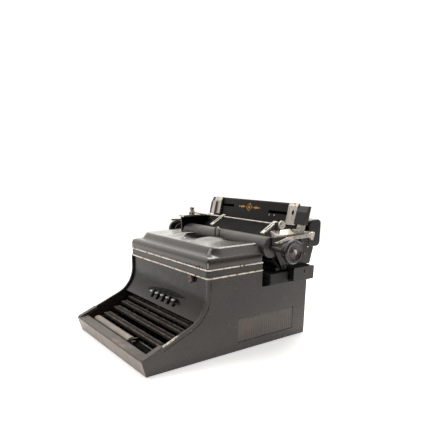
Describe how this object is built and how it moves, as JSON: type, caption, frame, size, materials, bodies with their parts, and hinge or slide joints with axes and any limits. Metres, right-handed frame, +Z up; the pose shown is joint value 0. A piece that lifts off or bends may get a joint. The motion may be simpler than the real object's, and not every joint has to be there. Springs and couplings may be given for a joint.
{
  "type": "typewriter",
  "caption": "Desk typewriter with a sloping keyboard well, banks of keys, lift-up top cover and a sliding carriage with platen, paper table and levers.",
  "frame": {"origin": "on the table, under the centre of the bounding box", "axes": "+X to the typist's right along the platen, +Y from the keyboard to the back, +Z up"},
  "size_m": [0.407, 0.429, 0.278],
  "materials": {
    "body_paint": "semi-gloss black paint, worn at the edges",
    "lip_paint": "worn grey-brown paint",
    "frame_paint": "black japanned casting",
    "trim_metal": "dull nickel strip with rust spots",
    "chrome": "worn nickel plate",
    "steel": "oiled steel",
    "key_plastic": "dark matte moulding with worn edges",
    "space_bar_plastic": "aged pale grey moulding",
    "tab_key_plastic": "pale worn key tops",
    "knob_plastic": "polished black and red-brown moulding",
    "platen_rubber": "hard grey-black rubber",
    "foot_rubber": "soft black rubber",
    "carriage_paint": "gloss black enamel"
  },
  "bodies": {
    "frame": {"base_frame": "frame_paint", "side_panel_left": "body_paint", "side_panel_right": "body_paint", "vent_grilles": "body_paint", "front_rail": "lip_paint", "front_apron": "body_paint", "back_panel": "body_paint", "trim_strip_lower": "trim_metal", "waist_band": "body_paint", "trim_strip_upper": "trim_metal", "rubber_feet": "foot_rubber", "key_lever_axle": "steel", "cover_hinge_pin": "steel", "type_segment": "steel", "typebars": "steel", "type_guide": "chrome", "ribbon_spool_decks": "frame_paint", "carriage_rail": "frame_paint"},
    "cover": {"top_cover": "body_paint"},
    "key_bank_1": {"key_row_1": "key_plastic"},
    "key_bank_2": {"key_row_2": "key_plastic"},
    "key_bank_3": {"key_row_3": "key_plastic"},
    "key_bank_4": {"key_row_4": "key_plastic"},
    "space": {"space_bar": "space_bar_plastic", "space_bar_frame": "steel"},
    "tab_1": {"tab_key_1": "tab_key_plastic"},
    "tab_2": {"tab_key_2": "tab_key_plastic"},
    "tab_3": {"tab_key_3": "tab_key_plastic"},
    "tab_4": {"tab_key_4": "tab_key_plastic"},
    "tab_5": {"tab_key_5": "tab_key_plastic"},
    "selector_knob": {"ribbon_selector_knob": "knob_plastic"},
    "typebar": {"typebar_centre": "steel"},
    "spool_left": {"ribbon_spool_left": "steel"},
    "spool_right": {"ribbon_spool_right": "steel"},
    "drum": {"mainspring_drum": "steel"},
    "carriage": {"carriage_bed": "carriage_paint", "end_plate_left": "carriage_paint", "end_plate_right": "carriage_paint", "tabulator_housing": "carriage_paint", "paper_table": "carriage_paint", "paper_table_ends": "carriage_paint", "paper_guide_left": "chrome", "paper_guide_right": "chrome", "paper_pan": "carriage_paint", "carriage_top_rail_left": "chrome", "carriage_top_plate_right": "chrome", "carriage_screws": "steel", "margin_rod": "steel"},
    "platen": {"platen_roller": "platen_rubber", "platen_shaft": "steel", "platen_knob_left": "knob_plastic", "platen_knob_right": "knob_plastic"},
    "feed": {"feed_roller": "platen_rubber"},
    "bail": {"paper_bail_rod": "chrome", "paper_fingers": "chrome"},
    "line_selector": {"line_space_selector": "chrome"},
    "release": {"paper_release_lever": "chrome"},
    "return": {"carriage_return_lever": "chrome"},
    "stop_left": {"margin_stop_left": "steel"},
    "stop_right": {"margin_stop_right": "steel"}
  },
  "joints": [
    {"name": "cover_hinge", "type": "hinge", "parent": "frame", "child": "cover", "pos_m": [0, -0.0763, 0.1744], "axis": [1, 0, 0], "range_deg": [0, 95]},
    {"name": "key_row_1_press", "type": "hinge", "parent": "frame", "child": "key_bank_1", "pos_m": [0, 0.1285, 0.034], "axis": [1, 0, 0], "range_deg": [0, 1.1], "stiffness_Nm_per_rad": 12, "springref_deg": -6.88},
    {"name": "key_row_2_press", "type": "hinge", "parent": "frame", "child": "key_bank_2", "pos_m": [0, 0.1285, 0.034], "axis": [1, 0, 0], "range_deg": [0, 1.2], "stiffness_Nm_per_rad": 12, "springref_deg": -6.88},
    {"name": "key_row_3_press", "type": "hinge", "parent": "frame", "child": "key_bank_3", "pos_m": [0, 0.1285, 0.034], "axis": [1, 0, 0], "range_deg": [0, 1.3], "stiffness_Nm_per_rad": 12, "springref_deg": -6.88},
    {"name": "key_row_4_press", "type": "hinge", "parent": "frame", "child": "key_bank_4", "pos_m": [0, 0.1285, 0.034], "axis": [1, 0, 0], "range_deg": [0, 1.4], "stiffness_Nm_per_rad": 12, "springref_deg": -6.88},
    {"name": "space_bar_press", "type": "hinge", "parent": "frame", "child": "space", "pos_m": [0, 0.1285, 0.034], "axis": [1, 0, 0], "range_deg": [0, 1], "stiffness_Nm_per_rad": 12, "springref_deg": -6.88},
    {"name": "tab_key_1_press", "type": "slide", "parent": "frame", "child": "tab_1", "axis": [0, 0, -1], "range_m": [0, 0.0035], "stiffness_N_per_m": 200, "springref_m": -0.003},
    {"name": "tab_key_2_press", "type": "slide", "parent": "frame", "child": "tab_2", "axis": [0, 0, -1], "range_m": [0, 0.0035], "stiffness_N_per_m": 200, "springref_m": -0.003},
    {"name": "tab_key_3_press", "type": "slide", "parent": "frame", "child": "tab_3", "axis": [0, 0, -1], "range_m": [0, 0.0035], "stiffness_N_per_m": 200, "springref_m": -0.003},
    {"name": "tab_key_4_press", "type": "slide", "parent": "frame", "child": "tab_4", "axis": [0, 0, -1], "range_m": [0, 0.0035], "stiffness_N_per_m": 200, "springref_m": -0.003},
    {"name": "tab_key_5_press", "type": "slide", "parent": "frame", "child": "tab_5", "axis": [0, 0, -1], "range_m": [0, 0.0035], "stiffness_N_per_m": 200, "springref_m": -0.003},
    {"name": "selector_turn", "type": "hinge", "parent": "frame", "child": "selector_knob", "pos_m": [0.094, -0.0805, 0.146], "axis": [0, -1, 0], "range_deg": [-35, 35]},
    {"name": "typebar_swing", "type": "hinge", "parent": "frame", "child": "typebar", "pos_m": [0, 0.0445, 0.106], "axis": [-1, 0, 0], "range_deg": [0, 95]},
    {"name": "spool_left_spin", "type": "hinge", "parent": "frame", "child": "spool_left", "pos_m": [-0.098, -0.0065, 0.16], "axis": [0, 0, 1], "continuous": true},
    {"name": "spool_right_spin", "type": "hinge", "parent": "frame", "child": "spool_right", "pos_m": [0.098, -0.0065, 0.16], "axis": [0, 0, 1], "continuous": true},
    {"name": "drum_spin", "type": "hinge", "parent": "frame", "child": "drum", "pos_m": [-0.096, 0.1435, 0.088], "axis": [0, 1, 0], "range_deg": [-256, 256]},
    {"name": "carriage_travel", "type": "slide", "parent": "frame", "child": "carriage", "axis": [1, 0, 0], "range_m": [-0.11, 0.11]},
    {"name": "platen_turn", "type": "hinge", "parent": "carriage", "child": "platen", "pos_m": [0, 0.0785, 0.1966], "axis": [1, 0, 0], "continuous": true},
    {"name": "feed_roller_spin", "type": "hinge", "parent": "carriage", "child": "feed", "pos_m": [0, 0.10154, 0.1833], "axis": [1, 0, 0], "continuous": true},
    {"name": "paper_bail_lift", "type": "hinge", "parent": "carriage", "child": "bail", "pos_m": [0, 0.0935, 0.241], "axis": [-1, 0, 0], "range_deg": [0, 100]},
    {"name": "line_selector_tilt", "type": "hinge", "parent": "carriage", "child": "line_selector", "pos_m": [-0.14, 0.0865, 0.24], "axis": [1, 0, 0], "range_deg": [-20, 20]},
    {"name": "paper_release_pull", "type": "hinge", "parent": "carriage", "child": "release", "pos_m": [0.166, 0.1385, 0.204], "axis": [-1, 0, 0], "range_deg": [0, 20]},
    {"name": "return_lever_swing", "type": "hinge", "parent": "carriage", "child": "return", "pos_m": [-0.161, 0.0935, 0.223], "axis": [0, 0, 1], "range_deg": [0, 25], "stiffness_Nm_per_rad": 0.3, "springref_deg": -8.59},
    {"name": "margin_stop_left_slide", "type": "slide", "parent": "carriage", "child": "stop_left", "axis": [1, 0, 0], "range_m": [-0.045, 0.07]},
    {"name": "margin_stop_right_slide", "type": "slide", "parent": "carriage", "child": "stop_right", "axis": [1, 0, 0], "range_m": [-0.07, 0.045]}
  ],
  "couplings": [
    {"joint": "spool_right_spin", "follows": "spool_left_spin", "ratio": 1},
    {"joint": "drum_spin", "follows": "carriage_travel", "rad_per_m": 40},
    {"joint": "feed_roller_spin", "follows": "platen_turn", "ratio": -3.3833},
    {"joint": "typebar_swing", "follows": "key_row_3_press", "ratio": 72.692}
  ]
}
